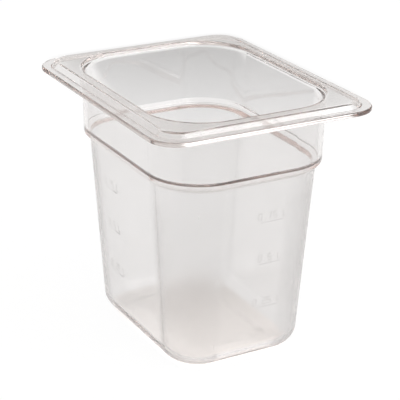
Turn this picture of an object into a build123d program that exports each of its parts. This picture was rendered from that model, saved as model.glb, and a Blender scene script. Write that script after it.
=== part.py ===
from build123d import *
import math
import os

# Clear food pan, injection moulded in one piece. X runs along the long side, Y along the
# short side, +Z up, and the origin is the middle of the underside. Every outline is a
# rounded rectangle, given by its inset from the lip's outer edge, its corner radius and its
# height. A skin is a distance in from the pan's outer face. Millimetres.

# Overall size
RIM_LENGTH = 162.5
RIM_WIDTH = 132.5
PAN_DEPTH = 150.0
WALL = 2.3
FLOOR = 2.8

# Rim: a flat lip, a step up, and a deck round the opening
LIP_THICKNESS = 2.5
LIP_CORNER_RADIUS = 16.5
LIP_TOP_ROUND = 0.9
LIP_UNDER_ROUND = 0.6
DECK_DROP = 2.9
DECK_FOOT_INSET = 4.7
DECK_FOOT_RADIUS = 14.2
DECK_FOOT_ROUND = 0.8
DECK_EDGE_INSET = 6.9
DECK_EDGE_RADIUS = 12.6
DECK_EDGE_ROUND = 1.3
OPENING_ROUND = 3.4

# Collar: drafted wall from the rim down to the shoulder, sized where it meets the shoulder.
# The ledge inside stands a little higher than the shoulder outside.
COLLAR_INSET = 14.3
COLLAR_RADIUS = 30.5
COLLAR_DRAFT = 1.5
SHOULDER_Z = 111.6
SHOULDER_FALL = 2.0
SHOULDER_ROUND = 3.0
SHOULDER_FOOT_ROUND = 0.9
LEDGE_RISE = 3.7
LEDGE_ROUND = 0.9
LEDGE_LIP_ROUND = 2.0

# Well: drafted wall from the shoulder down to the base
WELL_TOP_INSET = 17.7
WELL_TOP_RADIUS = 27.1
WELL_FOOT_INSET = 25.1
WELL_FOOT_RADIUS = 21.5
BASE_ROUND = 11.0

# Shallow recess under the base, which leaves a border to stand on
RECESS_DEPTH = 0.3
RECESS_INSET = 42.0
RECESS_RADIUS = 8.0

# Litre scale: raised bars and numerals on the outside of an end wall and a side wall
MARK_RELIEF = 0.2
MARK_LINE = 0.7
MARK_BAR = 14.0
NUMERAL_HEIGHT = 4.0
NUMERAL_WIDTH = 2.0
NUMERAL_PITCH = 3.1
NUMERAL_LIFT = 1.6
SCALE_STEP = 0.25
SCALE_STEPS = 3
LEVEL_STEP = 0.1
END_SCALE_PLACE = 10.5
SIDE_SCALE_PLACE = -18.0

# Size mark and mould ring, raised inside the recess under the base
BASE_MARK_PLACE = 32.0
BASE_MARK_RELIEF = 0.15
RING_RADIUS = 5.0
RING_PLACE = 12.0

# Strokes of each raised character, in a cell one wide and one high
STROKES = {
    "0": [(0, 0), (1, 0), (1, 1), (0, 1), (0, 0)],
    "1": [(0.2, 0.8), (0.5, 1), (0.5, 0)],
    "2": [(0, 1), (1, 1), (1, 0.5), (0, 0.5), (0, 0), (1, 0)],
    "5": [(1, 1), (0, 1), (0, 0.5), (1, 0.5), (1, 0), (0, 0)],
    "7": [(0, 1), (1, 1), (0.4, 0)],
    ".": [(0.3, 0), (0.6, 0)],
    "L": [(0, 1), (0, 0), (0.9, 0)],
}

# How far an edge may stray from a height and still count as lying at it
EDGE_TOLERANCE = 0.01

# Values that follow from the sizes above
LIP_TOP = PAN_DEPTH - DECK_DROP
LIP_BOTTOM = LIP_TOP - LIP_THICKNESS
DECK_UNDERSIDE = PAN_DEPTH - WALL
SHOULDER_FOOT_Z = SHOULDER_Z - SHOULDER_FALL
WELL_TILT = math.degrees(math.atan2(WELL_FOOT_INSET - WELL_TOP_INSET, SHOULDER_FOOT_Z))


def outline(inset, radius, z):
    """Rounded rectangle at height z, inset from the lip's outer edge."""
    face = RectangleRounded(RIM_LENGTH - 2 * inset, RIM_WIDTH - 2 * inset, radius)
    return Plane.XY.offset(z) * face


def stack(*sections):
    """Solid through sections of (inset, radius, z), from the lowest to the highest."""
    solid = None
    for low, high in zip(sections, sections[1:]):
        slab = loft([outline(*low), outline(*high)], ruled=True)
        solid = slab if solid is None else solid + slab
    return solid


def edges_at(solid, z):
    """The edges that lie wholly at height z."""
    return solid.edges().filter_by_position(Axis.Z, z - EDGE_TOLERANCE, z + EDGE_TOLERANCE)


def collar_section(z, skin):
    """Section of the collar at z."""
    flare = (z - SHOULDER_Z) * math.tan(math.radians(COLLAR_DRAFT))
    return (COLLAR_INSET - flare + skin, COLLAR_RADIUS + flare - skin, z)


def well_section(z, skin):
    """Section of the well at z."""
    down = 1 - z / SHOULDER_FOOT_Z
    inset = WELL_TOP_INSET + down * (WELL_FOOT_INSET - WELL_TOP_INSET)
    radius = WELL_TOP_RADIUS + down * (WELL_FOOT_RADIUS - WELL_TOP_RADIUS)
    return (inset + skin, radius - skin, z)


def outer_form():
    """Outside of the well, shoulder and collar, as a solid up to the deck's underside."""
    form = stack(
        well_section(0, 0),
        well_section(SHOULDER_FOOT_Z, 0),
        collar_section(SHOULDER_Z, 0),
        collar_section(DECK_UNDERSIDE, 0),
    )
    form = fillet(edges_at(form, 0), BASE_ROUND)
    form = fillet(edges_at(form, SHOULDER_Z), SHOULDER_ROUND)
    return fillet(edges_at(form, SHOULDER_FOOT_Z), SHOULDER_FOOT_ROUND)


def inner_form():
    """The space inside the pan, as a solid from the floor to the opening."""
    ledge_foot = SHOULDER_FOOT_Z + LEDGE_RISE
    ledge_top = SHOULDER_Z + LEDGE_RISE
    form = stack(
        well_section(FLOOR, WALL),
        well_section(ledge_foot, WALL),
        collar_section(ledge_top, WALL),
        collar_section(PAN_DEPTH, WALL),
    )
    form = fillet(edges_at(form, FLOOR), BASE_ROUND - WALL)
    form = fillet(edges_at(form, ledge_foot), LEDGE_LIP_ROUND)
    return fillet(edges_at(form, ledge_top), LEDGE_ROUND)


def lies_inside(edge, inset):
    """True if the whole edge is more than inset in from the lip's outer edge."""
    box = edge.bounding_box()
    along = max(box.max.X, -box.min.X) < RIM_LENGTH / 2 - inset
    across = max(box.max.Y, -box.min.Y) < RIM_WIDTH / 2 - inset
    return along and across


def rim():
    """Lip, step and deck, solid across the opening and hollow under the deck."""
    lip = stack((0, LIP_CORNER_RADIUS, LIP_BOTTOM), (0, LIP_CORNER_RADIUS, LIP_TOP))
    lip = fillet(edges_at(lip, LIP_TOP), LIP_TOP_ROUND)
    lip = fillet(edges_at(lip, LIP_BOTTOM), LIP_UNDER_ROUND)
    deck = stack(
        (DECK_FOOT_INSET, DECK_FOOT_RADIUS, LIP_TOP),
        (DECK_EDGE_INSET, DECK_EDGE_RADIUS, PAN_DEPTH),
    )
    form = lip + fillet(edges_at(deck, PAN_DEPTH), DECK_EDGE_ROUND)
    lip_edges = edges_at(form, LIP_TOP)
    step_foot = lip_edges.filter_by(lambda edge: lies_inside(edge, DECK_FOOT_INSET / 2))
    form = fillet(step_foot, DECK_FOOT_ROUND)
    hollow = stack(
        (DECK_FOOT_INSET + WALL, DECK_FOOT_RADIUS - WALL, LIP_BOTTOM),
        (DECK_EDGE_INSET + WALL, DECK_EDGE_RADIUS - WALL, DECK_UNDERSIDE),
    )
    return form - hollow


def pan_body():
    """The whole moulding, without its raised marks."""
    body = rim() + outer_form() - inner_form()
    deck_edges = edges_at(body, PAN_DEPTH)
    mouth = deck_edges.filter_by(lambda edge: lies_inside(edge, DECK_EDGE_INSET + WALL))
    body = fillet(mouth, OPENING_ROUND)
    recess = stack((RECESS_INSET, RECESS_RADIUS, 0), (RECESS_INSET, RECESS_RADIUS, RECESS_DEPTH))
    return body - recess


def fill_level(litres):
    """Height that this much liquid reaches inside the well."""
    corner_loss = (4 - math.pi) / 4 * (BASE_ROUND - WALL) ** 2
    volume = -2 * corner_loss * (RIM_LENGTH + RIM_WIDTH - 4 * (WELL_FOOT_INSET + WALL))
    z = FLOOR
    while volume < litres * 1e6:
        inset, radius, _ = well_section(z, WALL)
        face = (RIM_LENGTH - 2 * inset) * (RIM_WIDTH - 2 * inset) - (4 - math.pi) * radius**2
        volume += face * LEVEL_STEP
        z += LEVEL_STEP
    return z


def end_plane(z):
    """Plane on the +X wall at z, its X along the wall and its Y up it."""
    tilt = math.radians(WELL_TILT)
    origin = (RIM_LENGTH / 2 - well_section(z, 0)[0], END_SCALE_PLACE, z)
    return Plane(origin, x_dir=(0, 1, 0), z_dir=(math.cos(tilt), 0, -math.sin(tilt)))


def side_plane(z):
    """Plane on the -Y wall at z, its X along the wall and its Y up it."""
    tilt = math.radians(WELL_TILT)
    origin = (SIDE_SCALE_PLACE, -RIM_WIDTH / 2 + well_section(z, 0)[0], z)
    return Plane(origin, x_dir=(1, 0, 0), z_dir=(0, -math.cos(tilt), -math.sin(tilt)))


def characters(text, lift):
    """Raised characters as flat faces, centred left to right and lift above the middle."""
    faces = []
    start = -(len(text) * NUMERAL_PITCH - (NUMERAL_PITCH - NUMERAL_WIDTH)) / 2
    for place, character in enumerate(text):
        if character in STROKES:
            corner = start + place * NUMERAL_PITCH
            points = [
                (corner + x * NUMERAL_WIDTH, lift + y * NUMERAL_HEIGHT)
                for x, y in STROKES[character]
            ]
            faces.append(trace(Polyline(*points), line_width=MARK_LINE))
    return faces


def litre_scale(wall_plane):
    """A bar at each fill level with its volume over it, as separate raised solids."""
    marks = []
    for step in range(1, SCALE_STEPS + 1):
        litres = step * SCALE_STEP
        faces = [Rectangle(MARK_BAR, MARK_LINE)]
        faces += characters(f"{litres:g} L", NUMERAL_LIFT)
        plane = wall_plane(fill_level(litres))
        marks += [extrude(plane * face, MARK_RELIEF) for face in faces]
    return Compound(marks)


def base_marks():
    """Mould ring and the pan's depth in millimetres, readable from below."""
    plane = Plane((BASE_MARK_PLACE, 0, RECESS_DEPTH), x_dir=(0, 1, 0), z_dir=(0, 0, -1))
    ring = Circle(RING_RADIUS) - Circle(RING_RADIUS - MARK_LINE)
    faces = [Location((RING_PLACE, 0)) * ring]
    faces += characters(f"{PAN_DEPTH:g}", -NUMERAL_HEIGHT / 2)
    return Compound([extrude(plane * face, BASE_MARK_RELIEF) for face in faces])


os.makedirs("parts", exist_ok=True)
nodes = {
    "pan_body": pan_body(),
    "litre_scale_end": litre_scale(end_plane),
    "litre_scale_side": litre_scale(side_plane),
    "base_marks": base_marks(),
}
for name, shape in nodes.items():
    export_step(shape, f"parts/{name}.step")
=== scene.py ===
import math

import bpy
from mathutils import Matrix, Vector


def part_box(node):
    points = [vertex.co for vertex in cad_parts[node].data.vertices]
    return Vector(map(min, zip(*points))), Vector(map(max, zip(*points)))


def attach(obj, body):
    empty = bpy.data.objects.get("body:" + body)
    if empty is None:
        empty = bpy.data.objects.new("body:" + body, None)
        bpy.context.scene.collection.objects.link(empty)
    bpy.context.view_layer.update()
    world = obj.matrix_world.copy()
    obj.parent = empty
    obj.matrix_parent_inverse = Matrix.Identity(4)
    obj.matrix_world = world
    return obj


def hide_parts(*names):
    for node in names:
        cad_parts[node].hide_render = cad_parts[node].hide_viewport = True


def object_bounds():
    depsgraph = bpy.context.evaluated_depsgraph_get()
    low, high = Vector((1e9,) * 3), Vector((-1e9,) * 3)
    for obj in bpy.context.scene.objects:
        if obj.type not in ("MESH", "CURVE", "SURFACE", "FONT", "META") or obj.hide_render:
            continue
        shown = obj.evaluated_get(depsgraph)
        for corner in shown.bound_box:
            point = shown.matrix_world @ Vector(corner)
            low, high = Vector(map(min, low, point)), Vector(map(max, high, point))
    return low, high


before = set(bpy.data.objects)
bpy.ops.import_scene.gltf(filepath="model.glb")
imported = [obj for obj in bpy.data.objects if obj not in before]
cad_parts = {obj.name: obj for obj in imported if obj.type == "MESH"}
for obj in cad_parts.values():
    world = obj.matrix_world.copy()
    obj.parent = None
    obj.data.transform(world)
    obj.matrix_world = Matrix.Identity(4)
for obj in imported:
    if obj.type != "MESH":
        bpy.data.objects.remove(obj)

cad_low, cad_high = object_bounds()

# ---------------------------------------------------------------- sizes, in millimetres
# The pan's length, width and height come from the frame. The rest repeats the CAD source:
# every outline is a rounded rectangle, set by its inset from the lip's outer edge, and a
# skin is a distance in from the pan's outer face.
MM = 0.001
pan_low, pan_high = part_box("pan_body")
HALF_LENGTH = (pan_high.x - pan_low.x) / 2 / MM
HALF_WIDTH = (pan_high.y - pan_low.y) / 2 / MM
PAN_DEPTH = (pan_high.z - pan_low.z) / MM
WALL = 2.3
FLOOR = 2.8

LIP_TOP = PAN_DEPTH - 2.9
LIP_BOTTOM = LIP_TOP - 2.5
LIP_CORNER = 16.5
LIP_TOP_ROUND = 0.9
LIP_UNDER_ROUND = 0.6
DECK_FOOT_INSET = 4.7
DECK_EDGE_INSET = 6.9
DECK_FOOT_CORNER = 18.9
DECK_EDGE_CORNER = 19.5
DECK_FOOT_ROUND = 0.8
DECK_EDGE_ROUND = 1.3
DECK_UNDERSIDE = PAN_DEPTH - WALL
HOLLOW_LIP_ROUND = 0.3
HOLLOW_TOP_ROUND = 0.5
OPENING_ROUND = 3.4

COLLAR_INSET = 14.3
COLLAR_DRAFT = math.tan(math.radians(1.5))
COLLAR_CORNER = 44.8
SHOULDER_Z = 111.6
SHOULDER_FOOT_Z = 109.6
SHOULDER_ROUND = 3.0
SHOULDER_FOOT_ROUND = 0.9
LEDGE_RISE = 3.7
LEDGE_ROUND = 0.9
LEDGE_LIP_ROUND = 2.0

WELL_TOP_INSET = 17.7
WELL_FOOT_INSET = 25.1
WELL_FOOT_CORNER = 46.6
BASE_ROUND = 11.0
FLOOR_ROUND = BASE_ROUND - WALL
RECESS_DEPTH = 0.3
RECESS_INSET = 42.0
RECESS_RAMP = 2.5
RECESS_ROUND = 30.0
RECESS_CORNER = 52.0

# How finely the surface is divided: steps along a quarter turn of an outline, along its
# straight sides, and along a quarter turn of the section, more on a large round
CORNER_STEPS = 28
SIDE_STEPS = 10
ARC_STEPS = 8
FEWEST_ARC_STEPS = 3
LARGE_ROUND = 5.0
LARGE_ROUND_SHARE = 1.6
RING_SPACING = 9.0
CENTRE_MARGIN = 2.0
UPRIGHT_SLOPE = 0.5


# ---------------------------------------------------------------- the pan's surface
def lip_corner(z):
    return LIP_CORNER


def deck_corner(z):
    share = (z - LIP_TOP) / (PAN_DEPTH - LIP_TOP)
    return DECK_FOOT_CORNER + share * (DECK_EDGE_CORNER - DECK_FOOT_CORNER)


def collar_corner(z):
    return COLLAR_CORNER


def well_corner(z):
    share = 1 - z / SHOULDER_FOOT_Z
    return COLLAR_CORNER + share * (WELL_FOOT_CORNER - COLLAR_CORNER)


def recess_corner(z):
    return RECESS_CORNER


def collar_inset(z, skin):
    return COLLAR_INSET - (z - SHOULDER_Z) * COLLAR_DRAFT + skin


def well_inset(z, skin):
    share = 1 - z / SHOULDER_FOOT_Z
    return WELL_TOP_INSET + share * (WELL_FOOT_INSET - WELL_TOP_INSET) + skin


def profile_corners():
    """The section's corners from the middle of the underside, out, up, over the rim and down
    to the inside floor: (inset, z, fillet radius, corner centre as a function of z)."""
    ledge_foot = SHOULDER_FOOT_Z + LEDGE_RISE
    ledge_top = SHOULDER_Z + LEDGE_RISE
    return [
        (RECESS_INSET + RECESS_RAMP, RECESS_DEPTH, RECESS_ROUND, recess_corner),
        (RECESS_INSET - RECESS_RAMP, 0.0, RECESS_ROUND, recess_corner),
        (well_inset(0, 0), 0.0, BASE_ROUND, well_corner),
        (well_inset(SHOULDER_FOOT_Z, 0), SHOULDER_FOOT_Z, SHOULDER_FOOT_ROUND, well_corner),
        (collar_inset(SHOULDER_Z, 0), SHOULDER_Z, SHOULDER_ROUND, collar_corner),
        (collar_inset(DECK_UNDERSIDE, 0), DECK_UNDERSIDE, HOLLOW_TOP_ROUND, collar_corner),
        (DECK_EDGE_INSET + WALL, DECK_UNDERSIDE, HOLLOW_TOP_ROUND, deck_corner),
        (DECK_FOOT_INSET + WALL, LIP_BOTTOM, HOLLOW_LIP_ROUND, deck_corner),
        (0.0, LIP_BOTTOM, LIP_UNDER_ROUND, lip_corner),
        (0.0, LIP_TOP, LIP_TOP_ROUND, lip_corner),
        (DECK_FOOT_INSET, LIP_TOP, DECK_FOOT_ROUND, deck_corner),
        (DECK_EDGE_INSET, PAN_DEPTH, DECK_EDGE_ROUND, deck_corner),
        (collar_inset(PAN_DEPTH, WALL), PAN_DEPTH, OPENING_ROUND, collar_corner),
        (collar_inset(ledge_top, WALL), ledge_top, LEDGE_ROUND, collar_corner),
        (well_inset(ledge_foot, WALL), ledge_foot, LEDGE_LIP_ROUND, well_corner),
        (well_inset(FLOOR, WALL), FLOOR, FLOOR_ROUND, well_corner),
    ]


def profile_samples():
    """Points along the rounded section: (inset, z, corner centre, tangent in inset, in z)."""
    corners = profile_corners()
    middle = HALF_WIDTH - CENTRE_MARGIN
    path = [(middle, RECESS_DEPTH)] + [c[:2] for c in corners] + [(middle, FLOOR)]
    samples = []
    for i, (inset, z, radius, centre) in enumerate(corners):
        here = Vector((inset, z))
        into = (here - Vector(path[i])).normalized()
        out = (Vector(path[i + 2]) - here).normalized()
        turn = math.acos(max(-1.0, min(1.0, into.dot(out))))
        reach = radius * math.tan(turn / 2)
        side = 1 if into.x * out.y - into.y * out.x > 0 else -1
        start = here - into * reach
        pivot = start + Vector((-into.y, into.x)) * side * radius
        share = LARGE_ROUND_SHARE if radius > LARGE_ROUND else 1
        steps = max(FEWEST_ARC_STEPS, round(ARC_STEPS * turn * 2 / math.pi * share))
        for k in range(steps + 1):
            angle = side * turn * k / steps
            spoke = start - pivot
            spoke = Vector((
                spoke.x * math.cos(angle) - spoke.y * math.sin(angle),
                spoke.x * math.sin(angle) + spoke.y * math.cos(angle),
            ))
            tangent = Vector((
                into.x * math.cos(angle) - into.y * math.sin(angle),
                into.x * math.sin(angle) + into.y * math.cos(angle),
            ))
            point = pivot + spoke
            samples.append((point.x, point.y, centre(point.y), tangent.x, tangent.y))
    return samples


def with_wall_rings(samples, longest):
    """The same samples with more rings along the long straight runs."""
    full = [samples[0]]
    for before, after in zip(samples, samples[1:]):
        run = math.hypot(after[0] - before[0], after[1] - before[1])
        parts = max(1, math.ceil(run / longest))
        for k in range(1, parts + 1):
            share = k / parts
            mixed = [a + (b - a) * share for a, b in zip(before, after)]
            full.append(tuple(mixed))
    return full


def ring(inset, z, centre, slope_inset, slope_z, slope_centre):
    """One closed outline, counter-clockwise from above: (points, normals)."""
    radius = centre - inset
    arcs = []
    for sign_x, sign_y, first in ((1, -1, -90), (1, 1, 0), (-1, 1, 90), (-1, -1, 180)):
        arc = []
        for k in range(CORNER_STEPS + 1):
            angle = math.radians(first + 90 * k / CORNER_STEPS)
            c, s = math.cos(angle), math.sin(angle)
            point = Vector((
                sign_x * (HALF_LENGTH - centre) + radius * c,
                sign_y * (HALF_WIDTH - centre) + radius * s,
                z,
            ))
            grow = slope_centre - slope_inset
            climb = Vector((
                -sign_x * slope_centre + grow * c,
                -sign_y * slope_centre + grow * s,
                slope_z,
            ))
            arc.append((point, Vector((-s, c, 0)), climb))
        arcs.append(arc)
    points, normals = [], []
    for arc, following in zip(arcs, arcs[1:] + arcs[:1]):
        for point, along, climb in arc:
            points.append(point)
            normals.append(along.cross(climb).normalized())
        (start, along, climb_a), (end, _, climb_b) = arc[-1], following[0]
        for k in range(1, SIDE_STEPS):
            share = k / SIDE_STEPS
            points.append(start.lerp(end, share))
            normals.append(along.cross(climb_a.lerp(climb_b, share)).normalized())
    return points, normals


def pan_surface():
    """Closed mesh of the pan: vertices and normals ring by ring, and its faces."""
    samples = with_wall_rings(profile_samples(), RING_SPACING)
    vertices, normals, faces = [], [], []
    for i, (inset, z, centre, ti, tz) in enumerate(samples):
        before = samples[max(i - 1, 0)]
        after = samples[min(i + 1, len(samples) - 1)]
        run = math.hypot(after[0] - before[0], after[1] - before[1])
        slope_centre = (after[2] - before[2]) / max(run, 1e-6) if abs(tz) > UPRIGHT_SLOPE else 0.0
        points, outward = ring(inset, z, centre, ti, tz, slope_centre)
        vertices += points
        normals += outward
    count = len(points)
    rows = len(samples)
    for i in range(rows - 1):
        for j in range(count):
            a, b = i * count + j, i * count + (j + 1) % count
            faces.append((a, b, b + count, a + count))
    faces.append(tuple(reversed(range(count))))
    faces.append(tuple(range((rows - 1) * count, rows * count)))
    shoulder = next(i for i, s in enumerate(samples) if s[1] > SHOULDER_FOOT_Z)
    ledge = next(i for i in range(shoulder, rows) if i > rows / 2 and samples[i][1] < SHOULDER_Z)
    per_corner = CORNER_STEPS + SIDE_STEPS
    satin, corner = [], []
    for i in range(rows):
        in_well = i < shoulder or i > ledge
        for j in range(count):
            rounded = j % per_corner <= CORNER_STEPS
            satin.append(1.0 if i < shoulder else 0.0)
            corner.append(1.0 if rounded and in_well else 0.0)
    return vertices, normals, faces, satin, corner


def new_piece(name, vertices, faces, normals=None):
    mesh = bpy.data.meshes.new(name)
    mesh.from_pydata([v * MM for v in vertices], [], faces)
    mesh.validate()
    mesh.update()
    mesh.polygons.foreach_set("use_smooth", [True] * len(mesh.polygons))
    if normals:
        mesh.normals_split_custom_set_from_vertices(normals)
    piece = bpy.data.objects.new(name, mesh)
    bpy.context.scene.collection.objects.link(piece)
    return piece


vertices, normals, faces, satin, corner = pan_surface()
pan = new_piece("pan_shell", vertices, faces, normals)
for key, values in (("satin", satin), ("corner", corner)):
    pan.data.attributes.new(key, "FLOAT", "POINT").data.foreach_set("value", values)


# ---------------------------------------------------------------- raised marks
# Bars and characters as rounded ridges swept along their strokes. Each one is sunk a little
# into the wall it stands on, so that no two faces lie on each other. They stand lower than
# in the CAD, as worn moulded marks that barely catch the light.
MARK_RELIEF = 0.04
MARK_LINE = 0.7
MARK_SINK = 0.005
MARK_STEPS = 8
MARK_CROWN = 1.5
SHARPEST_MITRE = 0.35
MARK_BAR = 14.0
NUMERAL_HEIGHT = 4.0
NUMERAL_WIDTH = 2.0
NUMERAL_PITCH = 3.1
NUMERAL_LIFT = 1.6
SCALE_STEP = 0.25
SCALE_STEPS = 3
LEVEL_STEP = 0.1
END_SCALE_PLACE = 10.5
SIDE_SCALE_PLACE = -18.0
BASE_MARK_PLACE = 32.0
BASE_MARK_RELIEF = 0.1
RING_RADIUS = 5.0
RING_PLACE = 12.0
RING_STEPS = 48

STROKES = {
    "0": [(0, 0), (1, 0), (1, 1), (0, 1), (0, 0)],
    "1": [(0.2, 0.8), (0.5, 1), (0.5, 0)],
    "2": [(0, 1), (1, 1), (1, 0.5), (0, 0.5), (0, 0), (1, 0)],
    "5": [(1, 1), (0, 1), (0, 0.5), (1, 0.5), (1, 0), (0, 0)],
    "7": [(0, 1), (1, 1), (0.4, 0)],
    ".": [(0.3, 0), (0.6, 0)],
    "L": [(0, 1), (0, 0), (0.9, 0)],
}


def ridge(points, relief):
    """Rounded ridge along a line of 2D points: (vertices as (x, y, height), faces)."""
    half = MARK_LINE / 2
    section = [(-half, -MARK_SINK)]
    for k in range(MARK_STEPS + 1):
        across = 2 * k / MARK_STEPS - 1
        section.append((half * across, relief * math.cos(across * math.pi / 2) ** MARK_CROWN))
    section.append((half, -MARK_SINK))
    line = [Vector(p) for p in points]
    closed = (line[0] - line[-1]).length < 1e-6
    if closed:
        line.pop()
    last = len(line) - 1
    vertices, faces = [], []
    for i, here in enumerate(line):
        into = (here - line[i - 1]).normalized() if i > 0 or closed else None
        out = (line[(i + 1) % len(line)] - here).normalized() if i < last or closed else None
        into, out = into or out, out or into
        mitre = Vector((-into.y - out.y, into.x + out.x)).normalized()
        widen = 1 / max(SHARPEST_MITRE, mitre.dot(Vector((-out.y, out.x))))
        for across, height in section:
            spot = here + mitre * across * widen
            vertices.append(Vector((spot.x, spot.y, height)))
    count = len(section)
    for i in range(len(line) if closed else last):
        for j in range(count):
            a, b = i * count + j, i * count + (j + 1) % count
            shift = (count * (i + 1)) % len(vertices) - count * i
            faces.append((a, a + shift, b + shift, b))
    if not closed:
        faces.append(tuple(range(count)))
        faces.append(tuple(reversed(range(last * count, last * count + count))))
    return vertices, faces


def character_lines(text, lift):
    """Strokes of a text, centred left to right and lift above the middle."""
    lines = []
    start = -(len(text) * NUMERAL_PITCH - (NUMERAL_PITCH - NUMERAL_WIDTH)) / 2
    for place, character in enumerate(text):
        corner = start + place * NUMERAL_PITCH
        lines += [
            [(corner + x * NUMERAL_WIDTH, lift + y * NUMERAL_HEIGHT) for x, y in stroke]
            for stroke in [STROKES.get(character)] if stroke
        ]
    return lines


def fill_level(litres):
    """Height that this much liquid reaches inside the well."""
    corner_loss = (4 - math.pi) / 4 * (BASE_ROUND - WALL) ** 2
    foot = WELL_FOOT_INSET + WALL
    volume = -2 * corner_loss * 2 * (HALF_LENGTH + HALF_WIDTH - 2 * foot)
    z = FLOOR
    while volume < litres * 1e6:
        inset = well_inset(z, WALL)
        radius = well_corner(z) - inset
        face = 4 * (HALF_LENGTH - inset) * (HALF_WIDTH - inset) - (4 - math.pi) * radius**2
        volume += face * LEVEL_STEP
        z += LEVEL_STEP
    return z


WELL_TILT = math.atan2(WELL_FOOT_INSET - WELL_TOP_INSET, SHOULDER_FOOT_Z)


def end_plane(z):
    """Origin, along, up and outward at height z on the +X wall."""
    c, s = math.cos(WELL_TILT), math.sin(WELL_TILT)
    origin = Vector((HALF_LENGTH - well_inset(z, 0), END_SCALE_PLACE, z))
    return origin, Vector((0, 1, 0)), Vector((s, 0, c)), Vector((c, 0, -s))


def side_plane(z):
    """Origin, along, up and outward at height z on the -Y wall."""
    c, s = math.cos(WELL_TILT), math.sin(WELL_TILT)
    origin = Vector((SIDE_SCALE_PLACE, -HALF_WIDTH + well_inset(z, 0), z))
    return origin, Vector((1, 0, 0)), Vector((0, -s, c)), Vector((0, -c, -s))


def base_plane():
    """The same for the underside, read from below."""
    origin = Vector((BASE_MARK_PLACE, 0, RECESS_DEPTH))
    return origin, Vector((0, 1, 0)), Vector((1, 0, 0)), Vector((0, 0, -1))


def raised(name, groups, relief):
    """One piece from groups of (plane, lines)."""
    vertices, faces = [], []
    for (origin, along, up, outward), lines in groups:
        for line in lines:
            spots, sides = ridge(line, relief)
            first = len(vertices)
            vertices += [origin + along * p.x + up * p.y + outward * p.z for p in spots]
            faces += [tuple(first + i for i in side) for side in sides]
    return new_piece(name, vertices, faces)


def scale_groups(plane):
    groups = []
    for step in range(1, SCALE_STEPS + 1):
        litres = step * SCALE_STEP
        bar = [(-MARK_BAR / 2, 0), (MARK_BAR / 2, 0)]
        lines = [bar] + character_lines(f"{litres:g} L", NUMERAL_LIFT)
        groups.append((plane(fill_level(litres)), lines))
    return groups


def ring_line(place, radius):
    turns = [2 * math.pi * k / RING_STEPS for k in range(RING_STEPS + 1)]
    return [(place + radius * math.cos(t), radius * math.sin(t)) for t in turns]


base_lines = [ring_line(RING_PLACE, RING_RADIUS - MARK_LINE / 2)]
base_lines += character_lines(f"{PAN_DEPTH:.0f}", -NUMERAL_HEIGHT / 2)
end_scale = raised("raised_scale_end", scale_groups(end_plane), MARK_RELIEF)
side_scale = raised("raised_scale_side", scale_groups(side_plane), MARK_RELIEF)
base_marks = raised("raised_base_marks", [(base_plane(), base_lines)], BASE_MARK_RELIEF)


# ---------------------------------------------------------------- materials
TINT = (0.905, 0.902, 0.9)
MARK_TINT = (0.945, 0.942, 0.94)
TINT_DENSITY = 16.0
TINT_COLOUR = (0.8, 0.6, 0.53, 1)
CLARITY = 0.98
POLISHED_ROUGHNESS = 0.03
SATIN_ROUGHNESS = 0.05
CORNER_ROUGHNESS = 0.16
MARK_ROUGHNESS = 0.2
PLASTIC_IOR = 1.58
# A mark is one moulding with its wall, so light hardly bends where the two meshes meet.
MARK_IOR = 1.03
# Noise as (scale per metre, detail), and how each kind shows
CLOUD = (22.0, 2.0)
CLOUD_DARK = 0.985
CLOUD_LIGHT = 1.012
SMUDGE = (60.0, 4.0)
SMUDGE_SMOOTH = 0.75
SMUDGE_ROUGH = 1.3
SCUFF = (900.0, 3.0)
SCUFF_STRETCH = (1.0, 1.0, 0.06)
SCUFF_ROUGHNESS = 0.04
SCUFF_RANGE = (0.62, 0.75)
SCUFF_DEPTH = 0.00002
SCUFF_STRENGTH = 0.12
RIPPLE = (28.0, 1.0)
RIPPLE_DEPTH = 0.0004
RIPPLE_STRENGTH = 0.25
GRAIN = (2600.0, 2.0)
GRAIN_DEPTH = 0.00002
GRAIN_STRENGTH = 0.05


def link(tree, source, target):
    tree.links.new(source, target)


def noise(tree, place, scale, detail, stretch=(1, 1, 1)):
    """Noise in the pan's own frame, in metres, drawn out along any axis with a small stretch."""
    mapping = tree.nodes.new("ShaderNodeMapping")
    mapping.inputs["Scale"].default_value = stretch
    link(tree, place, mapping.inputs["Vector"])
    made = tree.nodes.new("ShaderNodeTexNoise")
    made.inputs["Scale"].default_value = scale
    made.inputs["Detail"].default_value = detail
    link(tree, mapping.outputs["Vector"], made.inputs["Vector"])
    return made.outputs["Fac"]


def spread(tree, source, low, high, from_low=0.3, from_high=0.7):
    """The source's usual range mapped onto low to high."""
    made = tree.nodes.new("ShaderNodeMapRange")
    made.inputs["From Min"].default_value = from_low
    made.inputs["From Max"].default_value = from_high
    made.inputs["To Min"].default_value = low
    made.inputs["To Max"].default_value = high
    link(tree, source, made.inputs["Value"])
    return made.outputs["Result"]


def maths(tree, operation, a, b=None):
    """A maths node. Each side is a number or a socket."""
    made = tree.nodes.new("ShaderNodeMath")
    made.operation = operation
    for socket, value in zip(made.inputs, (a, b)):
        if isinstance(value, (int, float)):
            socket.default_value = value
        elif value is not None:
            link(tree, value, socket)
    return made.outputs["Value"]


def bump(tree, height, distance, strength, after=None):
    made = tree.nodes.new("ShaderNodeBump")
    made.inputs["Distance"].default_value = distance
    made.inputs["Strength"].default_value = strength
    link(tree, height, made.inputs["Height"])
    if after is not None:
        link(tree, after, made.inputs["Normal"])
    return made.outputs["Normal"]


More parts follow.
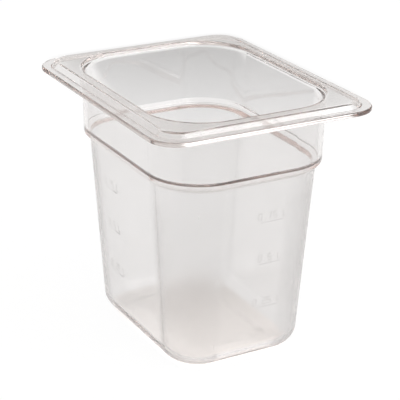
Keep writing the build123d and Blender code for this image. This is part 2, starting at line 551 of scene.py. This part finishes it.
def plastic(name, tint, roughness, index, zones=()):
    """Clear moulded plastic: slow ripples, fine scuffs and the mould's grain.
    Zones are (attribute, added roughness), for where the mould is polished less."""
    material = bpy.data.materials.new(name)
    material.use_nodes = True
    tree = material.node_tree
    shader = tree.nodes["Principled BSDF"]
    place = tree.nodes.new("ShaderNodeTexCoord").outputs["Object"]
    shader.inputs["Transmission Weight"].default_value = CLARITY
    shader.inputs["IOR"].default_value = index

    cloud = noise(tree, place, *CLOUD)
    tones = tree.nodes.new("ShaderNodeMix")
    tones.data_type = "RGBA"
    tones.inputs["A"].default_value = (*(c * CLOUD_DARK for c in tint), 1)
    tones.inputs["B"].default_value = (*(min(1, c * CLOUD_LIGHT) for c in tint), 1)
    link(tree, spread(tree, cloud, 0, 1), tones.inputs["Factor"])
    link(tree, tones.outputs["Result"], shader.inputs["Base Color"])

    smudge = noise(tree, place, *SMUDGE)
    scuffs = noise(tree, place, *SCUFF, stretch=SCUFF_STRETCH)
    total = spread(tree, smudge, SMUDGE_SMOOTH * roughness, SMUDGE_ROUGH * roughness)
    scuffed = spread(tree, scuffs, 0, SCUFF_ROUGHNESS, *SCUFF_RANGE)
    total = maths(tree, "ADD", total, scuffed)
    for key, extra in zones:
        zone = tree.nodes.new("ShaderNodeAttribute")
        zone.attribute_name = key
        zoned = spread(tree, zone.outputs["Fac"], 0, extra, 0, 1)
        total = maths(tree, "ADD", total, zoned)
    link(tree, total, shader.inputs["Roughness"])

    ripple = bump(tree, noise(tree, place, *RIPPLE), RIPPLE_DEPTH, RIPPLE_STRENGTH)
    scratched = bump(tree, scuffs, SCUFF_DEPTH, SCUFF_STRENGTH, ripple)
    grain = noise(tree, place, *GRAIN)
    grained = bump(tree, grain, GRAIN_DEPTH, GRAIN_STRENGTH, scratched)
    link(tree, grained, shader.inputs["Normal"])

    depth = tree.nodes.new("ShaderNodeVolumeAbsorption")
    depth.inputs["Color"].default_value = TINT_COLOUR
    depth.inputs["Density"].default_value = TINT_DENSITY
    link(tree, depth.outputs["Volume"], tree.nodes["Material Output"].inputs["Volume"])
    return material


pan.data.materials.append(plastic(
    "clear_polycarbonate", TINT, POLISHED_ROUGHNESS, PLASTIC_IOR,
    zones=(("satin", SATIN_ROUGHNESS), ("corner", CORNER_ROUGHNESS)),
))
marked = plastic("raised_mark_polycarbonate", MARK_TINT, MARK_ROUGHNESS, MARK_IOR)
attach(pan, "root")
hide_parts("pan_body")
for piece, cad_node in (
    (end_scale, "litre_scale_end"),
    (side_scale, "litre_scale_side"),
    (base_marks, "base_marks"),
):
    piece.data.materials.append(marked)
    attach(piece, "root")
    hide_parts(cad_node)


# ---------------------------------------------------------------- floor, light and camera
def inside_outline(tree, place, half_length, half_width, corner, edge):
    """1 well inside a rounded rectangle, 0 outside it, and soft over its edge."""
    parts = tree.nodes.new("ShaderNodeSeparateXYZ")
    link(tree, place, parts.inputs["Vector"])
    past_end = maths(tree, "SUBTRACT", maths(tree, "ABSOLUTE", parts.outputs["X"]), half_length)
    past_side = maths(tree, "SUBTRACT", maths(tree, "ABSOLUTE", parts.outputs["Y"]), half_width)
    beyond = maths(tree, "SMOOTH_MAX", past_end, past_side)
    beyond.node.inputs[2].default_value = SMOOTH_MAX_PER_RADIUS * corner
    inside = spread(tree, beyond, 1, 0, -edge, 0)
    inside.node.interpolation_type = "SMOOTHSTEP"
    return inside


def floor_shade(tree):
    """How bright the floor is, as a share of its open level. It carries a painted shadow
    behind the pan: the rim's outline cast onto the floor from a point at the camera's
    place, where no lamp stands. Under the pan's foot it carries painted light, brighter
    towards the near end of the base, and painted contact shade, darker towards the back."""
    # Painted shadow: each floor point is carried towards that point up to the rim's height, and
    # where it lands inside the rim's outline the glow is lowered, more the farther behind.
    rise = pan_high.z / PAINTED_SHADOW_POINT.z
    place = tree.nodes.new("ShaderNodeNewGeometry").outputs["Position"]
    seen = tree.nodes.new("ShaderNodeMapping")
    seen.inputs["Location"].default_value = (PAINTED_SHADOW_POINT.x * rise, PAINTED_SHADOW_POINT.y * rise, 0)
    seen.inputs["Scale"].default_value = (1 - rise, 1 - rise, 1)
    link(tree, place, seen.inputs["Vector"])
    shaded = inside_outline(
        tree, seen.outputs["Vector"], pan_high.x, pan_high.y, LIP_CORNER * MM, SHADE_EDGE)
    away = tree.nodes.new("ShaderNodeVectorMath")
    away.operation = "DOT_PRODUCT"
    away.inputs[1].default_value = -Vector((PAINTED_SHADOW_POINT.x, PAINTED_SHADOW_POINT.y, 0)).normalized()
    link(tree, place, away.inputs[0])
    distance = spread(tree, away.outputs["Value"], 0, SHADE_DEPTH, SHADE_FROM, SHADE_TO)
    behind = maths(tree, "SUBTRACT", 1.0, maths(tree, "MULTIPLY", shaded, distance))
    # Painted contact shade and light inside the pan's footprint: lower glow towards the back,
    # higher towards the near end.
    foot = WELL_FOOT_INSET + WALL
    under = inside_outline(
        tree, place, (HALF_LENGTH - foot) * MM, (HALF_WIDTH - foot) * MM,
        (WELL_FOOT_CORNER - foot) * MM, CONTACT_EDGE)
    near = spread(
        tree, away.outputs["Value"], CONTACT_NEAR, CONTACT_FAR, -CONTACT_REACH, CONTACT_REACH)
    return maths(tree, "ADD", behind, maths(tree, "MULTIPLY", under, near)), under


def flat_floor(size):
    mesh = bpy.data.meshes.new("floor")
    h = size / 2
    mesh.from_pydata([(-h, -h, 0), (h, -h, 0), (h, h, 0), (-h, h, 0)], [], [(0, 1, 2, 3)])
    floor = bpy.data.objects.new("floor", mesh)
    bpy.context.scene.collection.objects.link(floor)
    floor.location.z = -FLOOR_GAP
    material = bpy.data.materials.new("floor_white")
    material.use_nodes = True
    tree = material.node_tree
    shader = tree.nodes["Principled BSDF"]
    shader.inputs["Base Color"].default_value = (FLOOR_ALBEDO, FLOOR_ALBEDO, FLOOR_ALBEDO, 1)
    shader.inputs["Roughness"].default_value = FLOOR_ROUGHNESS
    shader.inputs["Specular IOR Level"].default_value = 0.0
    # The floor glows evenly except for the painted shadow and the painted contact shade and
    # light, which also give it a warm tone under the pan.
    share, under = floor_shade(tree)
    link(tree, maths(tree, "MULTIPLY", share, FLOOR_GLOW), shader.inputs["Emission Strength"])
    tone = tree.nodes.new("ShaderNodeMix")
    tone.data_type = "RGBA"
    tone.inputs["A"].default_value = (1, 1, 1, 1)
    tone.inputs["B"].default_value = (*PAINTED_CONTACT_TONE, 1)
    link(tree, under, tone.inputs["Factor"])
    link(tree, tone.outputs["Result"], shader.inputs["Emission Color"])
    mesh.materials.append(material)


FLOOR_SIZE = 12.0
FLOOR_GAP = 0.0002
FLOOR_ROUGHNESS = 0.9
# These set the painted shadow behind the pan: the point it is cast from (at the camera's place,
# with no lamp there), its soft edge and how deep it gets between 0.30 m and 0.56 m behind.
PAINTED_SHADOW_POINT = Vector((0.655, -0.366, 0.387))
SHADE_EDGE = 0.016
SMOOTH_MAX_PER_RADIUS = 1.75
SHADE_FROM = 0.30
SHADE_TO = 0.56
SHADE_DEPTH = 0.42
# These set the painted contact shade and light under the pan's foot: its soft edge, its reach,
# the painted light at the near end, the painted shade at the back, and the warm tone it gives the
# floor.
CONTACT_EDGE = 0.003
CONTACT_REACH = 0.04
CONTACT_NEAR = 0.3
CONTACT_FAR = -0.16
PAINTED_CONTACT_TONE = (1.0, 0.96, 0.93)
FLOOR_ALBEDO = 0.05
FLOOR_GLOW = 0.96
SIDE_POWER = 22.0
BACK_POWER = 5.0
WORLD_LEVEL = 0.72
WORLD_TONE = (1.0, 0.975, 0.95)
flat_floor(FLOOR_SIZE)


AIM_HEIGHT = 0.06


def softbox(name, azimuth, elevation, distance, width, height, power):
    data = bpy.data.lights.new(name, "AREA")
    data.shape = "RECTANGLE"
    data.size = width
    data.size_y = height
    data.energy = power
    lamp = bpy.data.objects.new(name, data)
    a, e = math.radians(azimuth), math.radians(elevation)
    away = Vector((math.sin(a) * math.cos(e), -math.cos(a) * math.cos(e), math.sin(e)))
    lamp.location = Vector((0, 0, AIM_HEIGHT)) + away * distance
    lamp.rotation_mode = "QUATERNION"
    lamp.rotation_quaternion = (-away).to_track_quat("-Z", "Y")
    bpy.context.scene.collection.objects.link(lamp)


softbox("side", 114, 42, 2.0, 2.2, 1.0, SIDE_POWER)
softbox("back", 185, 62, 2.0, 1.2, 1.2, BACK_POWER)

world = bpy.data.worlds.new("studio")
bpy.context.scene.world = world
world.use_nodes = True
sky = world.node_tree.nodes["Background"]
sky.inputs["Color"].default_value = (*WORLD_TONE, 1)
sky.inputs["Strength"].default_value = WORLD_LEVEL

AZIMUTH = math.radians(60.83)
ELEVATION = math.radians(22.54)
ROLL = math.radians(0.71)
DISTANCE = 0.81379
FOCAL_PIXELS = 1418.26
FRAME_PIXELS = 400
SENSOR = 36.0
SHIFT_X = 0.0017
SHIFT_Y = 0.0085
CLIP_START = 0.01
CLIP_END = 50

back = Vector((
    math.sin(AZIMUTH) * math.cos(ELEVATION),
    -math.cos(AZIMUTH) * math.cos(ELEVATION),
    math.sin(ELEVATION),
))
right = (-back).cross(Vector((0, 0, 1))).normalized()
up = right.cross(-back)
tilted_right = right * math.cos(ROLL) + up * math.sin(ROLL)
tilted_up = up * math.cos(ROLL) - right * math.sin(ROLL)
camera_data = bpy.data.cameras.new("camera")
camera = bpy.data.objects.new("camera", camera_data)
bpy.context.scene.collection.objects.link(camera)
turn = Matrix((tilted_right, tilted_up, back)).transposed().to_4x4()
camera.matrix_world = Matrix.Translation((cad_low + cad_high) / 2 + back * DISTANCE) @ turn
camera_data.sensor_width = SENSOR
camera_data.lens = FOCAL_PIXELS * SENSOR / FRAME_PIXELS
camera_data.shift_x = SHIFT_X
camera_data.shift_y = SHIFT_Y
camera_data.clip_start = CLIP_START
camera_data.clip_end = CLIP_END
bpy.context.scene.camera = camera
bpy.context.scene.view_settings.view_transform = "Standard"

# Light runs along inside a clear wall by many inner reflections before it comes out.
LIGHT_BOUNCES = 32
light_paths = bpy.context.scene.cycles
light_paths.max_bounces = LIGHT_BOUNCES
light_paths.glossy_bounces = LIGHT_BOUNCES
light_paths.transmission_bounces = LIGHT_BOUNCES
